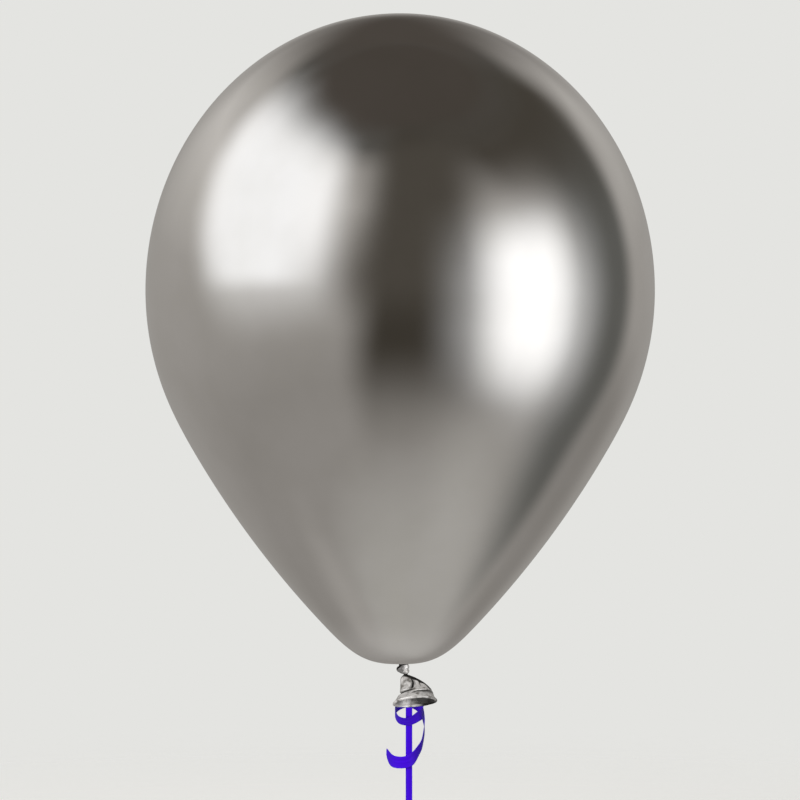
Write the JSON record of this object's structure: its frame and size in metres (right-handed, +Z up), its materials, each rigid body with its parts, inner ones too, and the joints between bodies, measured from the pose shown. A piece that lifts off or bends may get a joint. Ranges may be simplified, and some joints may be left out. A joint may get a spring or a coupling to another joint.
{
  "type": "helium party balloon on a curling ribbon",
  "caption": "Chrome-finish latex balloon, tied off with its own neck, with a pleated flared tail, on a blue-violet curling ribbon that ends in a small loop.",
  "frame": {"origin": "centre of the balloon's widest circle, where the surrounding air holds it up", "axes": "+Z up through the crown, -Y the side that the neck's mouth tips toward, +X to the right as seen from that side"},
  "size_m": [0.3, 0.3, 0.4975],
  "materials": {
    "latex_chrome": "natural latex with a mirror-like metallic silver-grey finish",
    "ribbon_film": "glossy crimped polypropylene ribbon, blue-violet"
  },
  "bodies": {
    "balloon": {"envelope": "latex_chrome", "neck_knot": "latex_chrome", "neck_tail": "latex_chrome", "rolled_lip": "latex_chrome", "ribbon_tie": "ribbon_film"},
    "ribbon": {"ribbon_tether": "ribbon_film", "ribbon_curl": "ribbon_film", "ribbon_end_knot": "ribbon_film", "ribbon_end_loop": "ribbon_film"}
  },
  "joints": [
    {"name": "ribbon_swing", "type": "hinge", "parent": "balloon", "child": "ribbon", "pos_m": [0.002, 0.0038, -0.2197], "axis": [1, 0, 0], "range_deg": [0, 30]}
  ]
}
